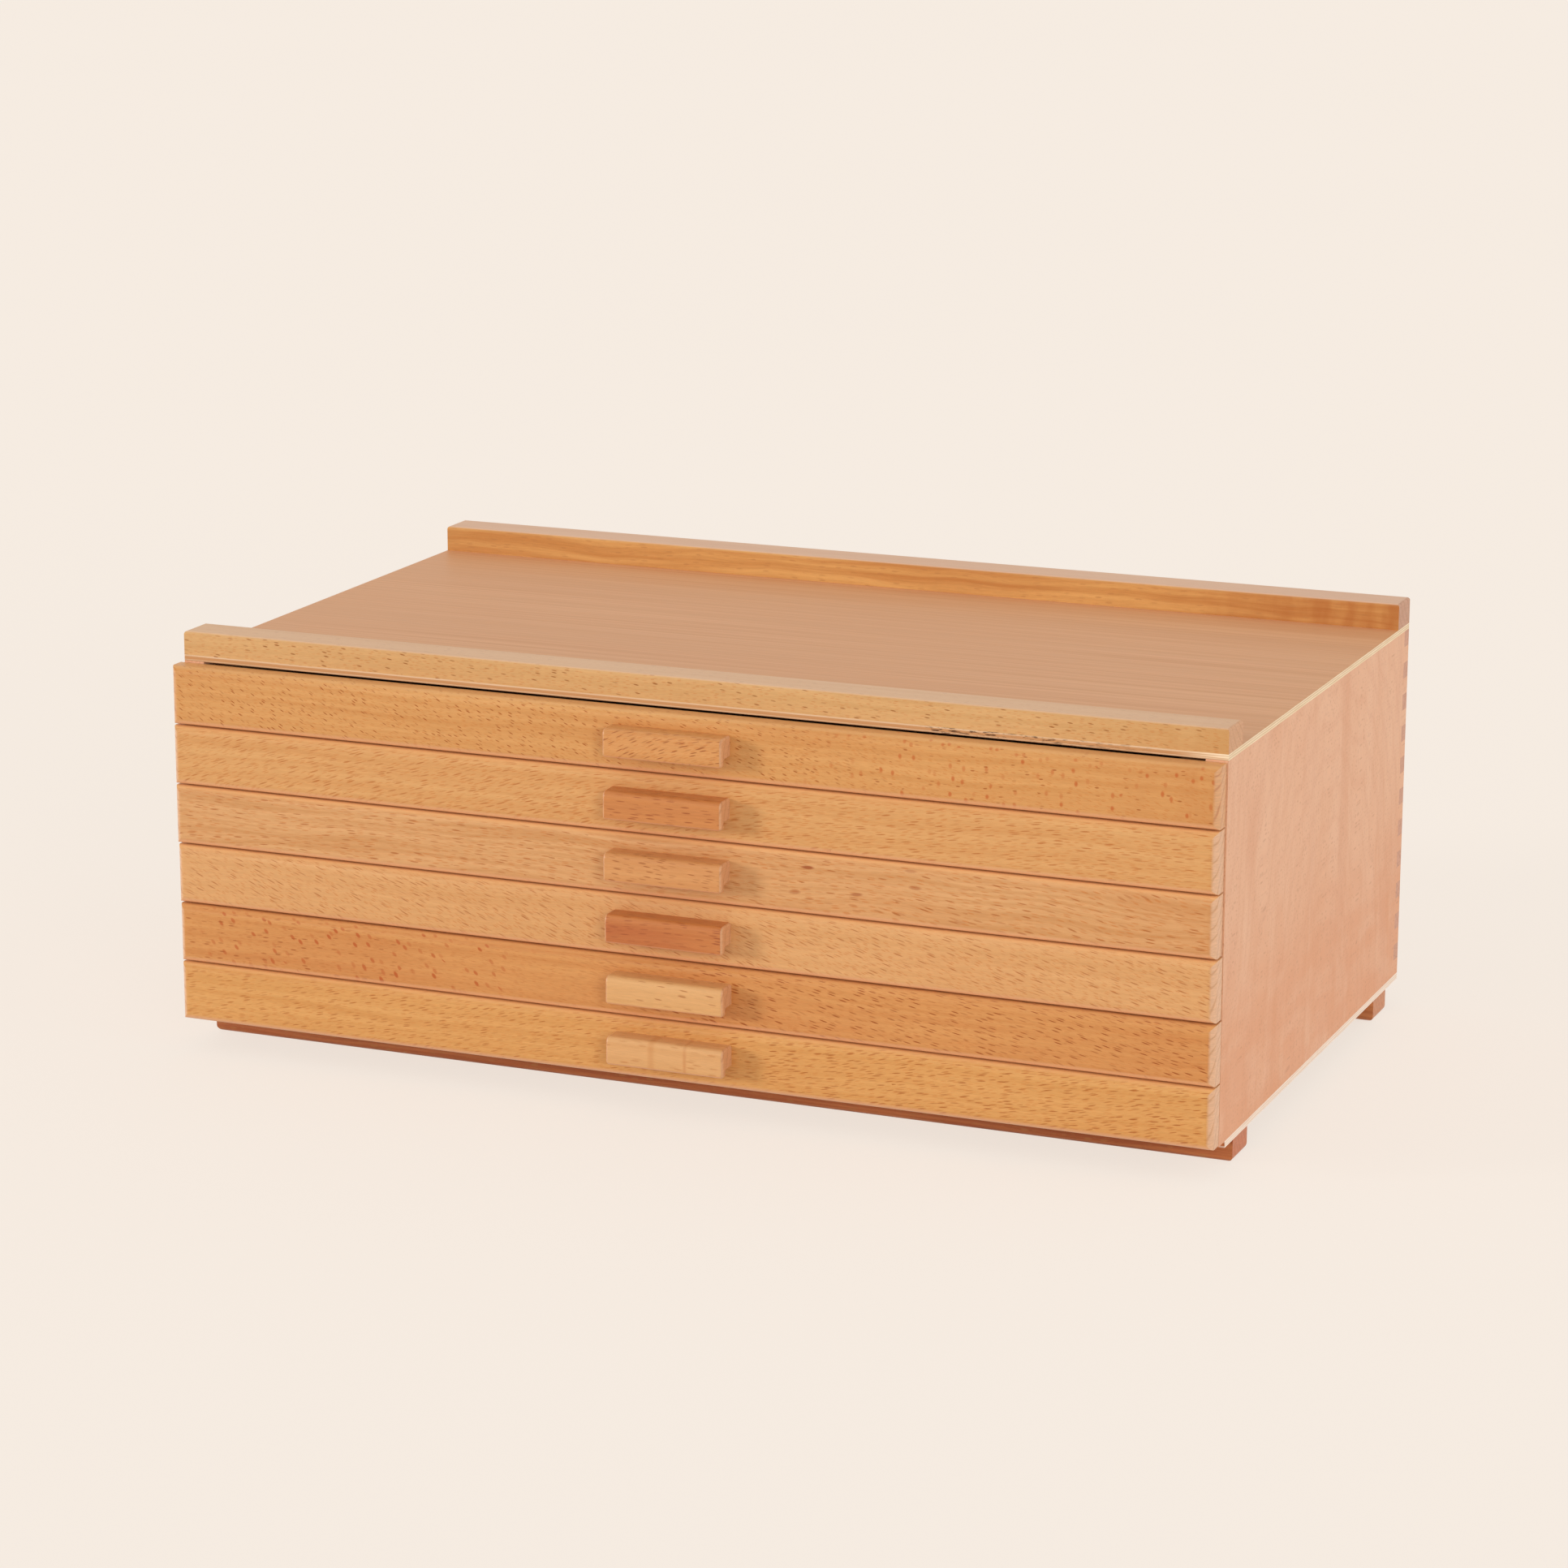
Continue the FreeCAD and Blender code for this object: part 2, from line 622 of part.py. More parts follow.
def make_box_floor(label, row):
    """Thin plywood floor under the sides and back, its front edge in the front's groove."""
    left = "-%s / 2" % BOX_WIDTH
    length = "%s + Sizes.box_floor_tongue" % BOX_LENGTH
    body = make_board(label, left, BOX_WIDTH, length, "Sizes.box_floor_thickness")
    place_in_drawer(body, row, "0", "(-Sizes.box_floor_tongue)", "Sizes.box_floor_lift")


def make_dividers(label, row):
    """Strips that part the drawer into equal bays, each as long as the hollow."""
    height = "%s - Sizes.divider_rim_drop" % BOX_SIDE_HEIGHT
    body = make_board(label, "0", "Sizes.divider_thickness", HOLLOW_LENGTH, height)
    span = "%d * %s" % (DIVIDERS_PER_DRAWER - 1, BAY_PITCH)
    add_row(body, [body.Tip], "X_Axis", span, DIVIDERS_PER_DRAWER)
    first_x = "%s - Sizes.divider_thickness - %s / 2" % (BAY_PITCH, HOLLOW_WIDTH)
    place_in_drawer(body, row, first_x, "0", BOX_FLOOR)


def make_drawer(row):
    """All the pieces of one drawer."""
    name = "drawer_%d_" % (row + 1)
    make_drawer_front(name + "front", row)
    make_handle(name + "handle", row)
    make_handle_screws(name + "handle_screws", row)
    make_box_side(name + "left_side", row, "(-%s / 2)" % BOX_WIDTH, 1)
    make_box_side(name + "right_side", row, "%s / 2" % BOX_WIDTH, -1)
    make_box_back(name + "back", row)
    make_box_floor(name + "floor", row)
    make_dividers(name + "dividers", row)


# Whole box

def make_case():
    """All the pieces that stay put."""
    make_top_panel()
    make_base_panel()
    make_side_panel("left_side_panel", CASE_LEFT)
    make_side_panel("right_side_panel", INNER_RIGHT)
    make_back_panel()
    make_lip_rail("front_lip_rail", "Sizes.front_lip_height", "0")
    make_lip_rail("rear_lip_rail", "Sizes.rear_lip_height", "Sizes.case_depth - Sizes.lip_depth")
    make_foot_rail("front_foot_rail", "Sizes.front_foot_inset")
    make_foot_rail("rear_foot_rail", REAR_FOOT)
    make_runners("left_runners", "%s + Sizes.side_thickness" % CASE_LEFT)
    make_runners("right_runners", "%s - Sizes.runner_width" % INNER_RIGHT)
    make_foot_rail_screws()


def check_document():
    """Stop if any feature failed or any sub-part has no sound shape."""
    for item in document.Objects:
        if "Invalid" in item.State or "Error" in item.State:
            raise ValueError("failed feature: " + item.Name)
    for body in sub_parts:
        if body.Shape.isNull() or not body.Shape.isValid():
            raise ValueError("unsound shape: " + body.Label)


def export_parts():
    """Write one STEP file for each sub-part."""
    os.makedirs("parts", exist_ok=True)
    for body in sub_parts:
        body.Shape.exportStep(os.path.join("parts", body.Label + ".step"))


fill_sheet(CASE_SIZES, DRAWER_SIZES, CLEARANCES, SCREW_SIZES)
make_case()
for drawer_row in range(DRAWER_COUNT):
    make_drawer(drawer_row)
document.recompute()
check_document()
export_parts()
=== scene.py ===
# Looks of the wooden pastel box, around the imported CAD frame. Metres, the frame's own axes.
import itertools
import math

import bpy
from mathutils import Matrix, Vector


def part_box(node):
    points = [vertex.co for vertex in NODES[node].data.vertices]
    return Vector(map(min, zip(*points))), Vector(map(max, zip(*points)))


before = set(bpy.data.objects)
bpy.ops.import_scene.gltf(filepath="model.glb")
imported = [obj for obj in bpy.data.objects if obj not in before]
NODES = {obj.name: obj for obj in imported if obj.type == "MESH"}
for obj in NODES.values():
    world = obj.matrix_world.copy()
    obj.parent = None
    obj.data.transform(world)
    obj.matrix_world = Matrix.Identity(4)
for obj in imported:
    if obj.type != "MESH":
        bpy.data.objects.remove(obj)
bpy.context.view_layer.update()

DRAWERS = range(1, 7)
SIDES = ("left", "right")

# Camera, as fitted to the photograph

PHOTO_SIDE = 1932
CAMERA_PLACE = (0.638318, -1.549552, 0.514475)
CAMERA_YAW = math.radians(-22.552)
CAMERA_PITCH = math.radians(-14.036)
CAMERA_ROLL = math.radians(0.103)
CAMERA_FOCAL_PIXELS = 5667.6
CAMERA_REACH = 100
SENSOR_WIDTH = 36.0


def add_camera():
    """Camera at the photograph's viewing angle."""
    sight = Vector((
        math.sin(CAMERA_YAW) * math.cos(CAMERA_PITCH),
        math.cos(CAMERA_YAW) * math.cos(CAMERA_PITCH),
        math.sin(CAMERA_PITCH),
    ))
    level = Vector((math.cos(CAMERA_YAW), -math.sin(CAMERA_YAW), 0))
    upright = level.cross(sight)
    right = math.cos(CAMERA_ROLL) * level + math.sin(CAMERA_ROLL) * upright
    up = -math.sin(CAMERA_ROLL) * level + math.cos(CAMERA_ROLL) * upright
    lens = bpy.data.cameras.new("camera")
    lens.sensor_width = SENSOR_WIDTH
    lens.lens = CAMERA_FOCAL_PIXELS / PHOTO_SIDE * SENSOR_WIDTH
    lens.clip_end = CAMERA_REACH
    camera = bpy.data.objects.new("camera", lens)
    turn = Matrix((right, up, -sight)).transposed().to_4x4()
    camera.matrix_world = Matrix.Translation(Vector(CAMERA_PLACE)) @ turn
    bpy.context.scene.collection.objects.link(camera)
    bpy.context.scene.camera = camera


# Node helpers

def srgb(red, green, blue):
    """Colour of a picture, 0 to 255, as the linear colour that shaders take."""
    linear = []
    for channel in (red, green, blue):
        share = channel / 255
        linear.append(share / 12.92 if share <= 0.04045 else ((share + 0.055) / 1.055) ** 2.4)
    return (*linear, 1.0)


class Tree:
    """A node tree, with one call for each kind of node that the materials use."""

    def __init__(self, tree):
        self.tree = tree
        self.tree.nodes.clear()

    def feed(self, socket, value):
        """Link another node's output to a socket, or set a constant on it."""
        if isinstance(value, bpy.types.NodeSocket):
            self.tree.links.new(value, socket)
        else:
            socket.default_value = value

    def node(self, kind, inputs=(), **settings):
        made = self.tree.nodes.new("ShaderNode" + kind)
        for name, value in settings.items():
            setattr(made, name, value)
        for key, value in dict(inputs).items():
            self.feed(made.inputs[key], value)
        return made

    def math(self, operation, first, second=0.0, third=0.0):
        return self.node("Math", {0: first, 1: second, 2: third}, operation=operation).outputs[0]

    def plus(self, first, second):
        return self.math("ADD", first, second)

    def minus(self, first, second):
        return self.math("SUBTRACT", first, second)

    def times(self, first, second):
        return self.math("MULTIPLY", first, second)

    def divided(self, first, second):
        return self.math("DIVIDE", first, second)

    def absolute(self, value):
        return self.math("ABSOLUTE", value)

    def ramp(self, value, low, high, to_low=0.0, to_high=1.0):
        """Smooth step from to_low, where the value is low, to to_high, where it is high."""
        inputs = {"Value": value, "From Min": low, "From Max": high}
        inputs.update({"To Min": to_low, "To Max": to_high})
        return self.node("MapRange", inputs, interpolation_type="SMOOTHSTEP").outputs["Result"]

    def noise(self, place, detail=2.0, roughness=0.5):
        inputs = {"Vector": place, "Scale": 1.0, "Detail": detail, "Roughness": roughness}
        return self.node("TexNoise", inputs, noise_dimensions="3D").outputs["Fac"]

    def cells(self, place):
        """Distance to the middle of the nearest cell, and the cell's own chance as a colour."""
        inputs = {"Vector": place, "Scale": 1.0}
        made = self.node("TexVoronoi", inputs, feature="F1", voronoi_dimensions="2D")
        return made.outputs["Distance"], made.outputs["Color"]

    def split(self, vector):
        return tuple(self.node("SeparateXYZ", {0: vector}).outputs)

    def join(self, x, y, z):
        return self.node("CombineXYZ", {0: x, 1: y, 2: z}).outputs[0]

    def scaled(self, vector, factors):
        return self.node("VectorMath", {0: vector, 1: factors}, operation="MULTIPLY").outputs[0]

    def moved(self, vector, offset):
        return self.node("VectorMath", {0: vector, 1: offset}, operation="ADD").outputs[0]

    def length(self, vector):
        return self.node("VectorMath", {0: vector}, operation="LENGTH").outputs["Value"]

    def mix(self, share, first, second, blend="MIX"):
        """Colours mixed. The node has one set of sockets for each type of data."""
        made = self.node("Mix", data_type="RGBA", blend_type=blend)
        for socket, value in ((0, share), (6, first), (7, second)):
            self.feed(made.inputs[socket], value)
        return made.outputs[2]

    def shaded(self, colour, shade):
        """A colour, made darker or lighter by a factor."""
        return self.mix(1.0, colour, self.join(shade, shade, shade), "MULTIPLY")

    def finish(self, colour, roughness, height, bump, strength=0.5, fixed=()):
        """Shader with a bump so many metres high, its constant sockets set on the shader itself."""
        normal = self.node("Bump", {"Height": height, "Distance": bump, "Strength": strength})
        inputs = {"Base Color": colour, "Roughness": roughness, "Normal": normal.outputs[0]}
        shader = self.node("BsdfPrincipled", inputs | dict(fixed))
        self.node("OutputMaterial", {"Surface": shader.outputs[0]})


def new_material(name):
    material = bpy.data.materials.new(name)
    material.use_nodes = True
    return material, Tree(material.node_tree)


# Solid wood

METRE = 1000  # in millimetres, which all materials count in
MILLIMETRES = (METRE, METRE, METRE)

# What each wood look may set, with the values of a plain beech board. Colours are 0 to 255.
WOOD = {
    "axes": "XZY",  # the frame's axes along the grain, across it in the face, and through the board
    "pale": (224, 168, 112),
    "deep": (211, 150, 94),
    "warm": (206, 136, 82),
    "warm_share": 0.25,
    "streak_size": (170, 2.6),
    "streak_contrast": 0.9,
    "warp": 3.0,
    "warp_length": 90,
    "flecks": (),
    "stains": (),  # each a colour, how much of it, and the zone along the grain
    "upper": None,  # colour painted on the faces that look up as a highlight, and how much of it
    "lower": ((232, 170, 128), 0.6),  # the same for the faces that look down, as a pale painted reflection of the floor
    "fibre": 0.07,
    "rings": 0.12,
    "ring_width": 3.4,
    "pith": (30, 40),  # from the board's middle, across the grain and through the board
    "lean": 0.0,
    "end_pale": (228, 182, 146),
    "end_deep": (196, 142, 100),
    "roughness": (0.42, 0.54),
    "coat": 0.18,
}

# What each layer of flecks may set
FLECKS = {
    "size": (3.2, 0.75),
    "radius": (0.14, 0.32),  # of a fleck's core and its outline, as shares of its cell
    "share": 0.6,
    "colour": (182, 122, 68),
    "depth": 0.5,
    "slope": (0.0, 0.0),  # at the board's middle, and its change for each millimetre
    "zone": None,
}

# Scales of noise for each millimetre along, across and through the board
WANDER_SCALE = (0.05, 0.03)  # across and through. The warp's length sets it along the board
BROAD_SCALE = (0.011, 0.045, 0.03)
FIBRE_SCALE = (0.25, 4.5, 4.5)
RING_SCALE = (0.01, 0.12, 0.12)
CLOUD_SCALE = (0.12, 0.05, 0.05)
DRIFT_SCALE = (0.05, 0.16)
PORE_SCALE = (0.5, 0.5, 2.2)  # along, out from the pith and across

# Where each smooth step starts and ends: on a noise, on a ring from 0 to 0.5, or on the normal
NOISE_STEP = (0.3, 0.7)
FIBRE_STEP = (0.25, 0.75)
BROAD_STEP = (0.45, 0.75)
CLOUD_STEP = (0.3, 0.6)
LATE_WOOD_STEP = (0.25, 0.5)
RING_LINE_STEP = (0.36, 0.5)
UPWARD_STEP = (0.5, 0.95)
DOWNWARD_STEP = (-0.15, -0.7)
END_STEP = (0.2, 0.6)
SATIN_STEP = (0.2, 0.8)

STREAK_HALF_STEP = 0.25
STREAK_DEPTH_SHARE = 0.6
RING_WAVER = 0.8
RING_LINE_DEPTH = 0.6
FLECK_CLUSTERING = 0.3
FLECK_FAINTEST_SHARE = 0.35
STAIN_THINNEST_SHARE = 0.4
PORE_SHADES = (0.93, 1.05)
FIBRE_RELIEF, PIT_RELIEF = 0.6, 0.25
WOOD_BUMP = 0.00008


class Board:
    """Where a surface point lies in its board, in millimetres, by the board's own directions.

    The position along the grain counts from the board's middle. Along, across and through are
    moved by the seed, so that no two boards show the same grain. Round runs on from the top
    face over the edge. Facing is how far the surface turns along the grain, and rising upwards.
    """

    def __init__(self, tree, look, middle, seed):
        order = ["XYZ".index(letter) for letter in look["axes"]]
        where = tree.node("TexCoord")
        place = tree.scaled(where.outputs["Object"], MILLIMETRES)
        normal = tree.split(where.outputs["Normal"])
        self.facing = tree.absolute(normal[order[0]])
        self.rising = normal[2]
        self.position = tree.minus(tree.split(place)[order[0]], middle[order[0]])
        moved = tree.split(tree.moved(place, seed))
        self.along, across, self.through = (moved[axis] for axis in order)

        # the grain wanders a little from side to side
        drift = tree.join(tree.divided(self.along, look["warp_length"]),
                          tree.times(across, WANDER_SCALE[0]), tree.times(self.through, WANDER_SCALE[1]))
        wander = tree.times(tree.minus(tree.noise(drift, detail=1.0), 0.5), 2 * look["warp"])
        self.across = tree.plus(across, wander)
        self.round = tree.plus(self.across, self.through)
        self.grain = tree.join(self.along, self.across, self.through)

        # growth rings lie round a pith that runs along the board, or leans and cuts arches into the face
        pith = [middle[axis] + seed[axis] + shift for axis, shift in zip(order[1:], look["pith"])]
        lean = tree.times(self.position, look["lean"])
        self.radius = tree.length(tree.join(0.0, tree.minus(self.across, pith[0]),
                                            tree.plus(tree.minus(self.through, pith[1]), lean)))
        uneven = tree.noise(tree.scaled(self.grain, RING_SCALE), detail=1.0)
        turns = tree.divided(self.radius, look["ring_width"])
        self.ring = tree.math("PINGPONG", tree.math("MULTIPLY_ADD", uneven, RING_WAVER, turns), 0.5)


def zone_mask(tree, position, zone):
    """One between the second and third place of the zone, and nothing outside the first and last."""
    starts, full, ends, empty = zone
    return tree.times(tree.ramp(position, starts, full), tree.ramp(position, empty, ends))


def fleck_mask(tree, board, look):
    """Short dashes in the face, each in a cell of its own, along lines that lean with the slope."""
    length, width = look["size"]
    slope, bend = look["slope"]
    core, outline = look["radius"]
    lean = tree.times(board.position, tree.math("MULTIPLY_ADD", board.position, bend / 2, slope))
    level = tree.minus(board.round, lean)
    cell = tree.join(tree.divided(board.along, length), tree.divided(level, width), 0.0)
    distance, chance = tree.cells(cell)
    kept, strength, _ = tree.split(chance)
    drift = tree.noise(tree.join(tree.times(board.along, DRIFT_SCALE[0]),
                                 tree.times(level, DRIFT_SCALE[1]), 0.0))
    missing = 1 - look["share"]
    rare = tree.ramp(drift, *NOISE_STEP, min(1, missing + FLECK_CLUSTERING), missing)
    mask = tree.times(tree.ramp(distance, outline, core), tree.math("GREATER_THAN", kept, rare))
    mask = tree.times(mask, tree.ramp(strength, 0.0, 1.0, FLECK_FAINTEST_SHARE, 1.0))
    if look["zone"]:
        mask = tree.times(mask, zone_mask(tree, board.position, look["zone"]))
    return tree.times(mask, look["depth"])


def end_grain(tree, board, look):
    """Growth rings and pores, as the cut ends show them, and the pores by themselves."""
    across = tree.times(board.across, PORE_SCALE[2])
    pores = tree.noise(tree.join(tree.times(board.along, PORE_SCALE[0]),
                                 tree.times(board.radius, PORE_SCALE[1]), across))
    line = tree.times(tree.ramp(board.ring, *RING_LINE_STEP), RING_LINE_DEPTH)
    colour = tree.mix(line, srgb(*look["end_pale"]), srgb(*look["end_deep"]))
    return tree.shaded(colour, tree.ramp(pores, *NOISE_STEP, *PORE_SHADES)), pores


def wood(name, middle, seed, **changes):
    """Solid wood as a texture in space: rings, streaks, fibres, ray flecks and end grain."""
    look = WOOD | changes
    material, tree = new_material(name)
    board = Board(tree, look, middle, seed)
    warm = srgb(*look["warm"])

    # streaks, broad changes of colour, late wood and fine fibres
    length, width = look["streak_size"]
    streak_scale = (1 / length, 1 / width, STREAK_DEPTH_SHARE / width)
    half = STREAK_HALF_STEP / look["streak_contrast"]
    streak = tree.noise(tree.scaled(board.grain, streak_scale), detail=4.0, roughness=0.6)
    streak = tree.ramp(streak, 0.5 - half, 0.5 + half)
    broad = tree.noise(tree.scaled(board.grain, BROAD_SCALE))
    fibre = tree.noise(tree.scaled(board.grain, FIBRE_SCALE), detail=3.0, roughness=0.65)
    colour = tree.mix(streak, srgb(*look["pale"]), srgb(*look["deep"]))
    colour = tree.mix(tree.ramp(broad, *BROAD_STEP, 0.0, look["warm_share"]), colour, warm)
    colour = tree.mix(tree.times(tree.ramp(board.ring, *LATE_WOOD_STEP), look["rings"]), colour, warm)
    colour = tree.shaded(colour, tree.ramp(fibre, *FIBRE_STEP, 1 - look["fibre"], 1 + look["fibre"]))

    for tone, most, zone in look["stains"]:
        cloud = tree.noise(tree.scaled(board.grain, CLOUD_SCALE), detail=3.0)
        cloud = tree.ramp(cloud, *CLOUD_STEP, STAIN_THINNEST_SHARE * most, most)
        colour = tree.mix(tree.times(cloud, zone_mask(tree, board.position, zone)), colour, srgb(*tone))
    pits = 0.0
    for layer in look["flecks"]:
        layer = FLECKS | layer
        mask = fleck_mask(tree, board, layer)
        colour = tree.mix(mask, colour, srgb(*layer["colour"]))
        pits = tree.math("MAXIMUM", pits, mask)
    # Painted highlight: faces that look up are made lighter, as if lit from above
    if look["upper"]:
        tone, most = look["upper"]
        colour = tree.mix(tree.ramp(board.rising, *UPWARD_STEP, 0.0, most), colour, srgb(*tone))
    # Painted reflection: faces that look down are made paler, as if lit by the pale floor below
    if look["lower"]:
        tone, most = look["lower"]
        colour = tree.mix(tree.ramp(board.rising, *DOWNWARD_STEP, 0.0, most), colour, srgb(*tone))

    # end grain shows where the surface turns across the grain
    end, pores = end_grain(tree, board, look)
    end_share = tree.ramp(board.facing, *END_STEP)
    colour = tree.mix(end_share, colour, end)

    height = tree.minus(tree.times(fibre, FIBRE_RELIEF), tree.times(pits, PIT_RELIEF))
    height = tree.plus(height, tree.times(pores, end_share))
    satin = tree.times(tree.plus(streak, fibre), 0.5)
    roughness = tree.ramp(satin, *SATIN_STEP, *look["roughness"])
    fixed = {"Specular IOR Level": 0.3, "Coat Weight": look["coat"], "Coat Roughness": 0.32}
    tree.finish(colour, roughness, height, WOOD_BUMP, fixed=fixed)
    return material


# Plywood

CREAM = ((252, 232, 200), (238, 210, 170), (190, 138, 92))

# What each plywood look may set, with the values of the drawers' floors
PLYWOOD = {
    "veneer": ((232, 192, 146), (220, 174, 126), (224, 180, 134)),  # pale, deep and warm streaks
    "core": CREAM,  # pale and deep fibres of the plies' edges, and the glue
    "glue": 0.6,
    "dark": None,  # colour of the front and rear edges, and where it starts and stops fading along X
    "shaded": None,  # colour of the painted shade on the front edge's lowest ply, and how much of it
    "marks": None,  # zone of the scratches along X in the front edge
}

# Scales of noise for each millimetre along X, Y and Z
VENEER_STREAK_SCALE = (1 / 240, 1 / 1.7, 1.0)
VENEER_BROAD_SCALE = (1 / 500, 1 / 16, 1.0)
VENEER_FIBRE_SCALE = (0.12, 3.2, 1.0)
PLY_WAVER_SCALE = (0.03, 0.03, 0.0)
PLY_GRIT_SCALE = (0.06, 0.06, 2.6)
MARK_SCALE = (0.35, 1.0, 2.0)

# Where each smooth step starts and ends, on a noise or on the normal
VENEER_BROAD_STEP = (0.4, 0.7)
GRIT_STEP = (0.35, 0.65)
MARK_STEP = (0.5, 0.62)
FRONTWARD_STEP = (-0.3, -0.7)
FRONT_OR_REAR_STEP = (0.3, 0.7)
FACE_STEP = (0.4, 0.7)

# Places in the panel's thickness, as shares of it, from its middle or from a glue line
GLUE_PLACE_SHARE = 0.2
GLUE_STEP_SHARES = (0.09, 0.02)
INNER_STEP_SHARES = (0.26, GLUE_PLACE_SHARE)
LOWEST_STEP_SHARES = (-0.26, -0.48)
PLY_WAVER_SHARE = 0.12

VENEER_BROAD_DEPTH = 0.5
VENEER_SHADES = (0.955, 1.045)
OUTER_PLY_DARKNESS = 0.5
MARK_DEPTH = 0.85
MARK_COLOUR = (74, 40, 22)
PLYWOOD_ROUGHNESS = (0.44, 0.54)
PLYWOOD_RELIEF = 0.5
PLYWOOD_BUMP = 0.00006


def veneer_face(tree, place, tones):
    """Streaks and fibres along X, and the fibres by themselves."""
    pale, deep, warm = (srgb(*tone) for tone in tones)
    streak = tree.noise(tree.scaled(place, VENEER_STREAK_SCALE), detail=4.0, roughness=0.62)
    broad = tree.noise(tree.scaled(place, VENEER_BROAD_SCALE))
    fibre = tree.noise(tree.scaled(place, VENEER_FIBRE_SCALE), detail=3.0, roughness=0.6)
    face = tree.mix(tree.ramp(streak, *NOISE_STEP), pale, deep)
    face = tree.mix(tree.ramp(broad, *VENEER_BROAD_STEP, 0.0, VENEER_BROAD_DEPTH), face, warm)
    return tree.shaded(face, tree.ramp(fibre, *FIBRE_STEP, *VENEER_SHADES)), fibre


def ply_edge(tree, place, height, position, normal, look):
    """Plies and glue lines by the height in the panel, with fibres that run along the edge."""
    pale, deep, glue = (srgb(*tone) for tone in look["core"])
    frontward = tree.ramp(normal[1], *FRONTWARD_STEP)
    waver = tree.minus(tree.noise(tree.scaled(place, PLY_WAVER_SCALE)), 0.5)
    offset = tree.plus(height, tree.times(waver, PLY_WAVER_SHARE))
    distance = tree.absolute(tree.minus(tree.absolute(offset), GLUE_PLACE_SHARE))
    seam = tree.times(tree.ramp(distance, *GLUE_STEP_SHARES), look["glue"])
    grit = tree.noise(tree.scaled(place, PLY_GRIT_SCALE), detail=4.0, roughness=0.65)
    plies = tree.mix(tree.ramp(grit, *GRIT_STEP), pale, deep)
    plies = tree.mix(seam, plies, glue)
    # Darker front and rear edges; on the base panel this darkening is a painted shade
    if look["dark"]:
        tone, starts, stops = look["dark"]
        inner = tree.ramp(tree.absolute(offset), *INNER_STEP_SHARES, OUTER_PLY_DARKNESS, 1.0)
        fading = tree.times(tree.ramp(tree.absolute(normal[1]), *FRONT_OR_REAR_STEP),
                            tree.ramp(position, starts, stops, 1.0, 0.0))
        plies = tree.mix(tree.times(fading, inner), plies, srgb(*tone))
    # Painted shade on the lowest ply of the front edge
    if look["shaded"]:
        tone, most = look["shaded"]
        lowest = tree.times(tree.ramp(offset, *LOWEST_STEP_SHARES, 0.0, most), frontward)
        plies = tree.mix(lowest, plies, srgb(*tone))
    if look["marks"]:
        flaw = tree.noise(tree.scaled(place, MARK_SCALE), detail=4.0)
        flaw = tree.ramp(flaw, *MARK_STEP, 0.0, MARK_DEPTH)
        flaw = tree.times(flaw, zone_mask(tree, position, look["marks"]))
        plies = tree.mix(tree.times(flaw, frontward), plies, srgb(*MARK_COLOUR))
    return plies


def plywood(name, middle, seed, thickness, **changes):
    """Veneer on the faces, and pale plies with thin glue lines on the edges."""
    look = PLYWOOD | changes
    material, tree = new_material(name)
    where = tree.node("TexCoord")
    place = tree.scaled(where.outputs["Object"], MILLIMETRES)
    normal = tree.split(where.outputs["Normal"])
    position, _, level = tree.split(place)
    height = tree.divided(tree.minus(level, middle[2]), thickness)
    place = tree.moved(place, seed)
    face, fibre = veneer_face(tree, place, look["veneer"])
    plies = ply_edge(tree, place, height, position, normal, look)
    colour = tree.mix(tree.ramp(tree.absolute(normal[2]), *FACE_STEP), plies, face)
    fixed = {"Specular IOR Level": 0.22, "Coat Weight": 0.06, "Coat Roughness": 0.3}
    roughness = tree.ramp(fibre, *SATIN_STEP, *PLYWOOD_ROUGHNESS)
    tree.finish(colour, roughness, tree.times(fibre, PLYWOOD_RELIEF), PLYWOOD_BUMP, fixed=fixed)
    return material


# Steel

STEEL_TONES = srgb(196, 190, 170), srgb(168, 160, 138)
STEEL_SCALE = (3, 3, 3)
STEEL_ROUGHNESS = (0.28, 0.42)
STEEL_BUMP = 0.0001
STEEL_BUMP_STRENGTH = 0.2


def steel(name, middle, seed):
    """Dull yellowish steel of the screws. It needs no middle, because it has no grain."""
    material, tree = new_material(name)
    where = tree.node("TexCoord")
    place = tree.moved(tree.scaled(where.outputs["Object"], MILLIMETRES), seed)
    brushed = tree.noise(tree.scaled(place, STEEL_SCALE), detail=3.0)
    colour = tree.mix(brushed, *STEEL_TONES)
    roughness = tree.ramp(brushed, *NOISE_STEP, *STEEL_ROUGHNESS)
    tree.finish(colour, roughness, brushed, STEEL_BUMP, STEEL_BUMP_STRENGTH, {"Metallic": 1.0})
    return material


# Stage

BACKGROUND = srgb(245, 235, 225)
FLOOR_TONES = srgb(232, 224, 215), srgb(228, 220, 211)
FLOOR_MOTTLE_SCALE = (1.5, 1.5, 1.5)
FLOOR_REACH = 40
FLOOR_GLOW = 1.11
FLOOR_LIFT = 0.75
WORLD_COLOUR = (1.0, 0.98, 0.95, 1.0)
WORLD_STRENGTH = 0.62

# Azimuth from the front (-Y) towards +X, elevation, strength, spread and colour. Angles in degrees.
LAMPS = {
    "key": (-58, 10, 1.4, 13, (1.0, 0.985, 0.96)),
    "fill": (42, 14, 0.8, 22, (1.0, 0.98, 0.955)),
    "side": (100, 14, 0.6, 60, (1.0, 0.98, 0.96)),
}


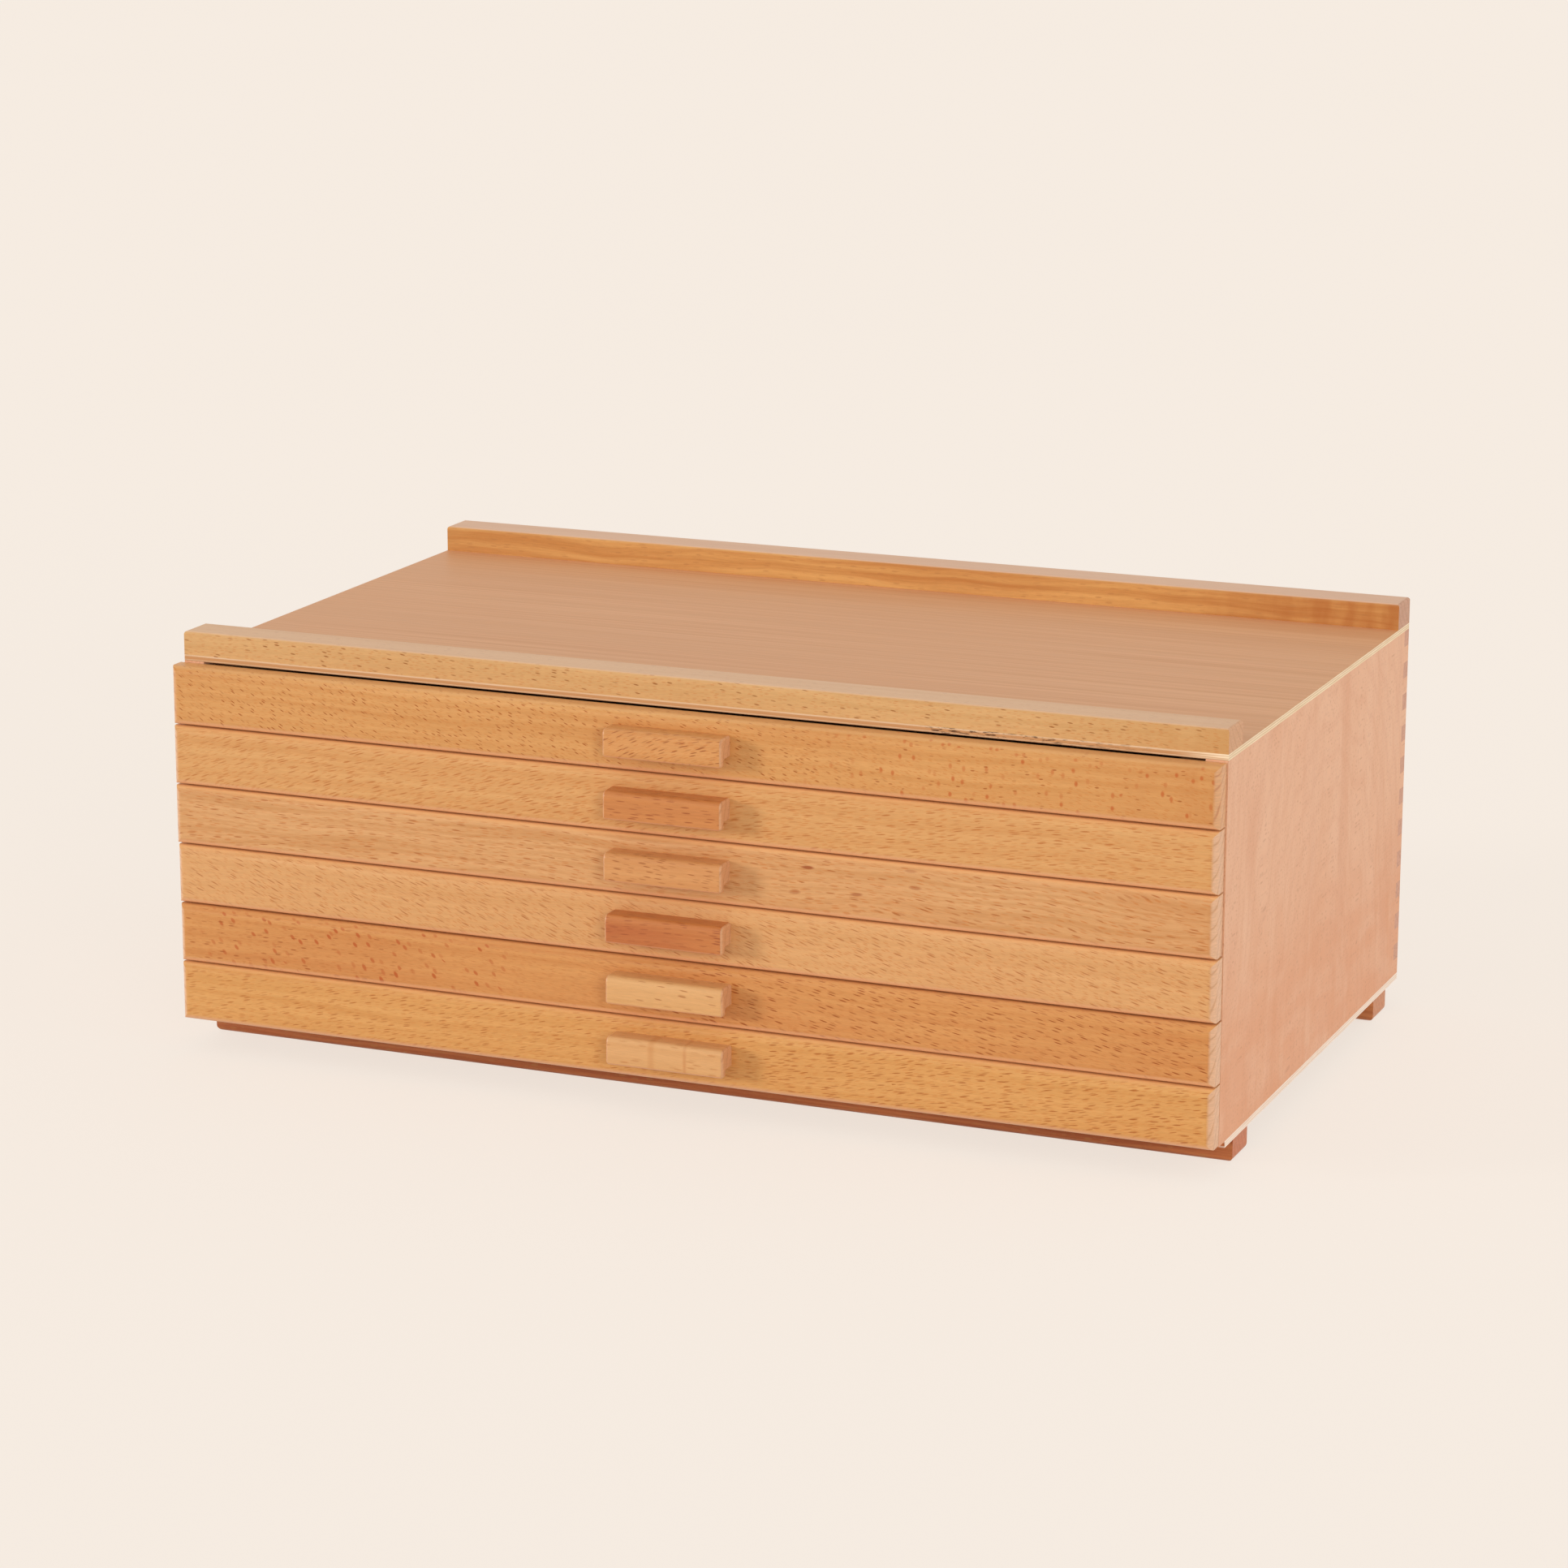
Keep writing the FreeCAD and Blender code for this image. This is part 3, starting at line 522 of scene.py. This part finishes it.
def add_sun(name, azimuth, elevation, strength, spread, colour):
    """Distant soft lamp."""
    sun = bpy.data.lights.new(name, "SUN")
    sun.energy = strength
    sun.angle = math.radians(spread)
    sun.color = colour
    lamp = bpy.data.objects.new(name, sun)
    bearing = math.radians(azimuth)
    height = math.radians(elevation)
    towards = Vector((
        math.sin(bearing) * math.cos(height),
        -math.cos(bearing) * math.cos(height),
        math.sin(height),
    ))
    lamp.rotation_euler = towards.to_track_quat("Z", "Y").to_euler()
    bpy.context.scene.collection.objects.link(lamp)


def add_floor():
    """Plain pale floor. The camera sees its colour lifted to the pale background."""
    material, tree = new_material("floor")
    light = tree.node("LightPath")
    where = tree.node("TexCoord")
    mottle = tree.noise(tree.scaled(where.outputs["Object"], FLOOR_MOTTLE_SCALE), detail=1.0)
    diffuse = tree.node("BsdfDiffuse", {"Color": tree.mix(mottle, *FLOOR_TONES)})
    glow = tree.node("Emission", {"Color": BACKGROUND, "Strength": FLOOR_GLOW})
    seen = tree.math("MAXIMUM", light.outputs["Is Camera Ray"], light.outputs["Is Glossy Ray"])
    lifted = tree.times(seen, FLOOR_LIFT)
    both = tree.node("MixShader", {0: lifted, 1: diffuse.outputs[0], 2: glow.outputs[0]})
    tree.node("OutputMaterial", {"Surface": both.outputs[0]})
    mesh = bpy.data.meshes.new("floor")
    low, high = -FLOOR_REACH, FLOOR_REACH
    corners = [(low, low, 0), (high, low, 0), (high, high, 0), (low, high, 0)]
    mesh.from_pydata(corners, [], [(0, 1, 2, 3)])
    mesh.materials.append(material)
    floor = bpy.data.objects.new("floor", mesh)
    bpy.context.scene.collection.objects.link(floor)


def light_world():
    """Even light from all round, seen by the camera as the background."""
    world = bpy.data.worlds.new("studio")
    bpy.context.scene.world = world
    world.use_nodes = True
    tree = Tree(world.node_tree)
    light = tree.node("LightPath")
    soft = tree.node("Background", {"Color": WORLD_COLOUR, "Strength": WORLD_STRENGTH})
    backdrop = tree.node("Background", {"Color": BACKGROUND, "Strength": 1.0})
    seen = tree.math("MAXIMUM", light.outputs["Is Camera Ray"], light.outputs["Is Glossy Ray"])
    seen = tree.math("MAXIMUM", seen, light.outputs["Is Transmission Ray"])
    both = tree.node("MixShader", {0: seen, 1: soft.outputs[0], 2: backdrop.outputs[0]})
    tree.node("OutputWorld", {"Surface": both.outputs[0]})


bpy.context.scene.view_settings.view_transform = "Standard"
add_camera()
add_floor()
light_world()
for lamp, settings in LAMPS.items():
    add_sun(lamp, *settings)

# Zones along a board, in millimetres from its middle

FAR = 900  # past the end of every board


def right_of(starts, full):
    """Zone that grows in between two places and goes on to the right end."""
    return starts, full, FAR, FAR + 1


def left_of(ends, empty):
    """Zone that starts at the left end and fades out between two places."""
    return -FAR - 1, -FAR, ends, empty


# Looks of the pieces that the photograph shows

BROWN, RED, OCHRE = (162, 80, 12), (190, 88, 24), (196, 108, 30)  # colours of flecks
FINE, FULL = (0.12, 0.25), (0.12, 0.26)  # radii of flecks
PAINTED_EDGE_HIGHLIGHT = (250, 200, 140)  # colour of the painted highlight on the fronts' top edges

# The fronts' top edges get a painted highlight, and their lower edges a painted reflection of the floor
FRONT = dict(pith=(-16, 22), upper=(PAINTED_EDGE_HIGHLIGHT, 0.6), lower=((240, 182, 138), 0.8))
FRONT_LOOKS = {
    1: dict(
        pale=(219, 161, 98), deep=(206, 144, 80), warm=(200, 130, 67), warm_share=0.35,
        upper=(PAINTED_EDGE_HIGHLIGHT, 0.3), end_pale=(222, 168, 122), end_deep=(186, 116, 74),
        stains=[((196, 126, 68), 0.6, right_of(130, 230))],
        flecks=[
            dict(size=(3.4, 0.7), share=0.9, depth=0.45, colour=OCHRE, slope=(-0.2, 0.0)),
            dict(size=(4.2, 1.1), radius=FINE, share=0.7, depth=0.95, colour=BROWN,
                 slope=(-0.34, 0.0012), zone=left_of(30, 110)),
            dict(size=(5.0, 1.5), radius=(0.1, 0.2), share=0.35, depth=0.85, colour=BROWN,
                 zone=right_of(30, 90)),
            dict(size=(4.5, 6.5), radius=(0.07, 0.2), share=0.8, depth=0.75, colour=RED,
                 zone=right_of(30, 90)),
        ],
    ),
    2: dict(
        pale=(221, 167, 107), deep=(211, 151, 90), warm=(208, 145, 85),
        flecks=[
            dict(size=(5.0, 0.7), share=1.0, depth=0.5, colour=OCHRE, slope=(0.2, -0.0008)),
            dict(size=(9.0, 1.1), radius=FINE, share=0.85, depth=0.7, colour=(176, 94, 26),
                 slope=(0.2, -0.0008)),
        ],
    ),
    3: dict(
        pale=(221, 168, 114), deep=(204, 146, 90), warm=(210, 146, 92), upper=(PAINTED_EDGE_HIGHLIGHT, 0.75),
        streak_size=(120, 2.2), streak_contrast=1.4, warp=6,
        stains=[((200, 134, 78), 0.5, right_of(130, 230))],
        flecks=[
            dict(size=(6.0, 0.8), share=1.0, depth=0.5, colour=OCHRE, slope=(-0.05, -0.0002)),
            dict(size=(9.0, 1.1), radius=FINE, share=0.6, depth=0.8, colour=(172, 94, 34),
                 slope=(-0.08, -0.0003)),
            dict(size=(20, 6), radius=(0.06, 0.15), share=0.6, depth=0.9, colour=(154, 68, 16),
                 zone=(35, 55, 95, 115)),
        ],
    ),
    4: dict(
        pale=(223, 169, 113), deep=(212, 155, 98), warm=(210, 147, 91),
        flecks=[
            dict(size=(3.8, 0.7), share=1.0, depth=0.45, colour=OCHRE, slope=(-0.3, 0.0004)),
            dict(size=(8.5, 1.0), radius=FINE, share=0.75, depth=0.7, colour=(168, 90, 30),
                 slope=(-0.3, 0.0004)),
        ],
    ),
    5: dict(
        pale=(216, 154, 91), deep=(202, 134, 72), warm=(195, 118, 60), warm_share=0.35,
        upper=(PAINTED_EDGE_HIGHLIGHT, 0.3),
        flecks=[
            dict(size=(4.0, 0.7), share=0.9, depth=0.4, colour=(184, 98, 34), slope=(-0.1, -0.0004)),
            dict(size=(7.5, 1.1), radius=FULL, share=0.95, depth=0.95, colour=(154, 72, 14),
                 slope=(-0.16, -0.0004), zone=right_of(-60, 20)),
            dict(size=(5.5, 5.0), radius=(0.1, 0.22), share=0.9, depth=0.9, colour=(184, 86, 30),
                 slope=(-0.6, 0.0), zone=(-196, -180, -80, -50)),
            dict(size=(6.0, 1.2), radius=FULL, share=0.5, depth=0.8, colour=(162, 82, 26),
                 zone=left_of(-150, -60)),
        ],
    ),
    6: dict(
        pale=(222, 165, 99), deep=(210, 149, 82), warm=(206, 139, 72),
        flecks=[
            dict(size=(4.4, 0.7), share=1.0, depth=0.4, colour=OCHRE, slope=(0.16, 0.0)),
            dict(size=(7.5, 1.0), radius=FINE, share=0.8, depth=0.75, colour=(170, 90, 20),
                 slope=(0.22, 0.0)),
            dict(size=(8.0, 1.1), radius=FINE, share=0.65, depth=0.8, colour=(164, 84, 18),
                 slope=(0.12, 0.0), zone=right_of(-40, 40)),
        ],
    ),
}

HANDLE = dict(pith=(-8, 22), end_pale=(216, 162, 118), end_deep=(188, 126, 82), coat=0.4)
HANDLE_LOOKS = {
    1: dict(
        pale=(218, 155, 92), deep=(204, 138, 75),
        flecks=[
            dict(size=(4.0, 0.7), share=1.0, depth=0.5, colour=OCHRE, slope=(0.3, -0.008)),
            dict(size=(6.0, 1.0), radius=(0.12, 0.28), share=1.0, depth=0.85, colour=(150, 72, 10),
                 slope=(0.33, -0.008)),
        ],
    ),
    2: dict(
        pale=(207, 135, 73), deep=(190, 115, 55),
        flecks=[dict(size=(7, 0.9), share=0.7, depth=0.8, colour=(154, 74, 24))],
    ),
    3: dict(
        pale=(218, 157, 98), deep=(203, 137, 78),
        flecks=[dict(size=(6, 1.0), share=0.7, depth=0.8, colour=(156, 84, 28), slope=(-0.1, 0.0))],
    ),
    4: dict(
        pale=(206, 134, 74), deep=(188, 108, 50), warm=(176, 88, 42), warm_share=0.6,
        flecks=[dict(size=(7, 0.9), share=0.7, depth=0.8, colour=(148, 68, 26))],
    ),
    5: dict(
        pale=(225, 174, 117), deep=(214, 159, 99), warm=(210, 151, 93),
        flecks=[dict(size=(8.5, 1.1), radius=(0.12, 0.24), share=0.55, depth=0.8, colour=(164, 96, 36),
                     slope=(-0.05, 0.0), zone=right_of(-20, -12))],
    ),
    6: dict(
        pale=(226, 174, 118), deep=(214, 160, 103), warm=(208, 146, 91),
        stains=[
            ((196, 122, 62), 0.5, (7.0, 7.9, 8.2, 9.1)),
            ((200, 132, 70), 0.5, (-7.0, -5.3, -4.6, -2.9)),
        ],
        flecks=[dict(size=(7, 1.3), share=0.6, depth=0.5, colour=(186, 118, 56))],
    ),
}

LIP = dict(coat=0.05, roughness=(0.52, 0.62), lower=None)
# The lips' top faces are made lighter by a painted highlight
FRONT_LIP = dict(
    pale=(220, 174, 118), deep=(206, 157, 100), warm=(203, 148, 91), upper=((236, 198, 168), 0.6),
    end_pale=(214, 164, 126), end_deep=(194, 140, 102), stains=[((198, 142, 82), 0.6, right_of(120, 220))],
    flecks=[
        dict(size=(3.4, 0.7), share=0.9, depth=0.4, colour=OCHRE),
        dict(size=(6.5, 1.5), radius=(0.1, 0.2), share=0.5, depth=0.85, colour=(150, 84, 24),
             slope=(-0.12, 0.0)),
    ],
)
REAR_LIP = dict(
    pale=(220, 166, 98), deep=(193, 129, 66), warm=(184, 112, 54), upper=((228, 188, 160), 0.9),
    end_pale=(202, 156, 130), end_deep=(182, 130, 104), stains=[((172, 96, 40), 0.7, right_of(90, 190))],
    streak_size=(120, 3.4), streak_contrast=1.2, warp=4, warp_length=50,
    flecks=[dict(size=(6, 1.3), share=0.5, depth=0.5)],
)

# The top panel's front edge has a painted shade on its lowest ply
TOP_PANEL = dict(
    veneer=((226, 171, 126), (212, 152, 107), (216, 160, 116)), dark=((200, 148, 100), 180, 200),
    shaded=((160, 104, 60), 0.7), marks=(88, 98, 118, 190),
)
# The base panel's front and rear edges are darkened all along as a painted shade, dark as the shadow under
# the drawers
BASE_PANEL = dict(
    veneer=((214, 166, 128), (196, 142, 104), (204, 152, 114)), dark=((190, 112, 62), FAR, FAR + 1),
    core=((255, 242, 228), (246, 224, 204), (214, 172, 136)), glue=0.4,
)

SIDE_PANEL = dict(
    axes="ZYX", pale=(236, 184, 147), deep=(230, 174, 137), warm=(222, 160, 122), warm_share=0.5,
    streak_size=(60, 14), warp=14, warp_length=70, fibre=0.035, rings=0.3, ring_width=9, pith=(10, -40),
    lean=0.7, end_pale=(222, 176, 144), end_deep=(204, 152, 118), lower=None,
    stains=[((222, 150, 104), 0.6, left_of(-40, 10))],
    flecks=[
        dict(size=(1.6, 0.9), share=0.7, depth=0.5, colour=(196, 132, 94)),
        dict(size=(3.4, 1.0), share=0.35, depth=0.4, colour=(188, 122, 86)),
    ],
)
FOOT_RAIL = dict(warm_share=0.4, streak_size=(90, 1.6), streak_contrast=1.4, rings=0.3, ring_width=2.6,
                 lower=None)
FRONT_FOOT_RAIL = dict(pale=(198, 120, 70), deep=(168, 90, 46), warm=(148, 72, 34),
                       end_pale=(198, 116, 74), end_deep=(174, 90, 52))
# Paler than the front rail: painted light that lifts the shade on the rear rail's front face
REAR_FOOT_RAIL = dict(pale=(226, 148, 94), deep=(200, 120, 70), warm=(176, 96, 54),
                      end_pale=(204, 136, 94), end_deep=(180, 108, 68))

# Looks of the pieces that the photograph hides

PLAIN = dict(flecks=[
    dict(size=(3.6, 0.8), share=0.7, depth=0.3),
    dict(size=(6.0, 1.5), share=0.5, depth=0.6),
])
BACK_PANEL = dict(pale=(224, 172, 134), deep=(208, 150, 110), end_pale=(208, 152, 124),
                  end_deep=(190, 130, 102))
BOX_SIDE = dict(axes="YZX", pale=(228, 180, 130), deep=(214, 160, 108))
BOX_BACK = dict(pale=(226, 178, 128), deep=(212, 158, 106))
RUNNERS = dict(axes="YZX", pale=(224, 176, 126), deep=(208, 154, 104))

# Dressing

numbers = itertools.count(1)
SEED_STEPS = (137, 59, 83)
SEED_SPANS = (811, 401, 307)


def box_middle(node):
    """Middle of a node's box, in millimetres."""
    low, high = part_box(node)
    return [METRE * (a + b) / 2 for a, b in zip(low, high)]


def box_height(node):
    """Height of a node's box, in millimetres."""
    low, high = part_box(node)
    return METRE * (high[2] - low[2])


def dress(node, kind=wood, **look):
    """Give a node its own material, with a seed by the order in which nodes are dressed."""
    number = next(numbers)
    seed = tuple(number * step % span for step, span in zip(SEED_STEPS, SEED_SPANS))
    mesh = NODES[node].data
    mesh.materials.clear()
    mesh.materials.append(kind(node + "_finish", box_middle(node), seed, **look))


def dress_panel(node, **look):
    """Give a level plywood panel its material."""
    dress(node, plywood, thickness=box_height(node), **look)


for drawer in DRAWERS:
    dress(f"drawer_{drawer}_front", **(FRONT | FRONT_LOOKS[drawer]))
    dress(f"drawer_{drawer}_handle", **HANDLE, **HANDLE_LOOKS[drawer])
dress("front_lip_rail", **LIP, **FRONT_LIP)
dress("rear_lip_rail", **LIP, **REAR_LIP)
dress_panel("top_panel", **TOP_PANEL)
dress_panel("base_panel", **BASE_PANEL)
for side in SIDES:
    dress(f"{side}_side_panel", **SIDE_PANEL)
dress("back_panel", **BACK_PANEL, **PLAIN)
dress("front_foot_rail", **FOOT_RAIL, **FRONT_FOOT_RAIL, **PLAIN)
dress("rear_foot_rail", **FOOT_RAIL, **REAR_FOOT_RAIL, **PLAIN)
for drawer in DRAWERS:
    for part in ("left_side", "right_side", "dividers"):
        dress(f"drawer_{drawer}_{part}", **BOX_SIDE, **PLAIN)
    dress(f"drawer_{drawer}_back", **BOX_BACK, **PLAIN)
    dress_panel(f"drawer_{drawer}_floor")
for side in SIDES:
    dress(f"{side}_runners", **RUNNERS, **PLAIN)
dress("foot_rail_screws", steel)
for drawer in DRAWERS:
    dress(f"drawer_{drawer}_handle_screws", steel)
